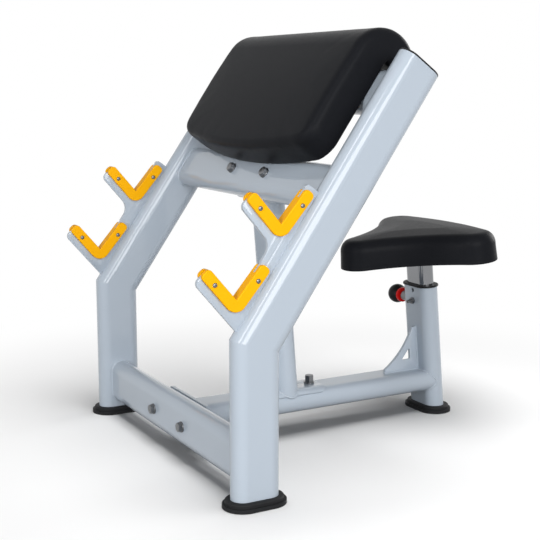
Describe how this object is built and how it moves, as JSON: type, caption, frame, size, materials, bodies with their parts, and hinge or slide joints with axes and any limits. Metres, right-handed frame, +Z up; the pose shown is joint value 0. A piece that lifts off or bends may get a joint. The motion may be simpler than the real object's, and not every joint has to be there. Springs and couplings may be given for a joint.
{
  "type": "preacher curl bench",
  "caption": "Free-standing preacher curl bench: flat-oval tube frame, slanted arm pad with a rolled top, stepped bar rack with hook liners, and a three-lobed seat set in height by a pull pin.",
  "frame": {"origin": "on the floor, in the middle of the bench's outer box", "axes": "+X across the bench to the right leg, -Y to the bar rack in front, +Y to the seat, +Z up"},
  "size_m": [0.797, 0.8853, 0.9138],
  "materials": {
    "frame_paint": "glossy pale blue-grey powder coat",
    "hook_liner": "satin yellow moulded plastic",
    "foot_rubber": "matt black rubber",
    "black_plastic": "satin black plastic",
    "red_plastic": "glossy red plastic",
    "chrome": "polished chrome plate",
    "zinc_steel": "bright zinc plate",
    "black_steel": "satin black paint",
    "plywood": "bare plywood",
    "upholstery": "smooth black leatherette over foam"
  },
  "bodies": {
    "frame": {"arm_pad": "upholstery", "arm_pad_bolts": "zinc_steel", "arm_pad_inserts": "zinc_steel", "base_beam": "frame_paint", "beam_flange": "frame_paint", "centre_post": "frame_paint", "centre_post_flange": "frame_paint", "centre_post_shoe": "frame_paint", "clamp_nut": "zinc_steel", "clamp_screw": "zinc_steel", "frame_bolts": "zinc_steel", "frame_nuts": "zinc_steel", "frame_washers": "zinc_steel", "hook_nuts": "zinc_steel", "hook_screws": "zinc_steel", "left_foot": "foot_rubber", "left_leg_cap": "black_plastic", "left_lower_hook": "hook_liner", "left_lower_leg": "frame_paint", "left_rack_plate": "frame_paint", "left_upper_hook": "hook_liner", "left_upper_leg": "frame_paint", "lower_crossbar": "frame_paint", "middle_crossbar": "frame_paint", "pad_board": "plywood", "pin_barrel": "zinc_steel", "pin_spring": "zinc_steel", "post_bumper": "foot_rubber", "post_gusset": "frame_paint", "post_sleeve": "black_plastic", "rear_foot": "foot_rubber", "right_foot": "foot_rubber", "right_leg_cap": "black_plastic", "right_lower_hook": "hook_liner", "right_lower_leg": "frame_paint", "right_rack_plate": "frame_paint", "right_upper_hook": "hook_liner", "right_upper_leg": "frame_paint", "seat_post": "frame_paint", "upper_crossbar": "frame_paint"},
    "seat": {"sliding_post": "chrome", "seat_plate": "black_steel", "seat_board": "plywood", "seat_cushion": "upholstery", "seat_bolts": "zinc_steel", "seat_inserts": "zinc_steel"},
    "pin": {"height_pin": "zinc_steel", "pin_knob": "black_plastic", "pin_ring": "red_plastic"}
  },
  "joints": [
    {"name": "seat_height", "type": "slide", "parent": "frame", "child": "seat", "axis": [0, -0.0958, 0.9954], "range_m": [0, 0.15]},
    {"name": "pin_travel", "type": "slide", "parent": "frame", "child": "pin", "axis": [1, 0, 0], "range_m": [0, 0.005]}
  ]
}
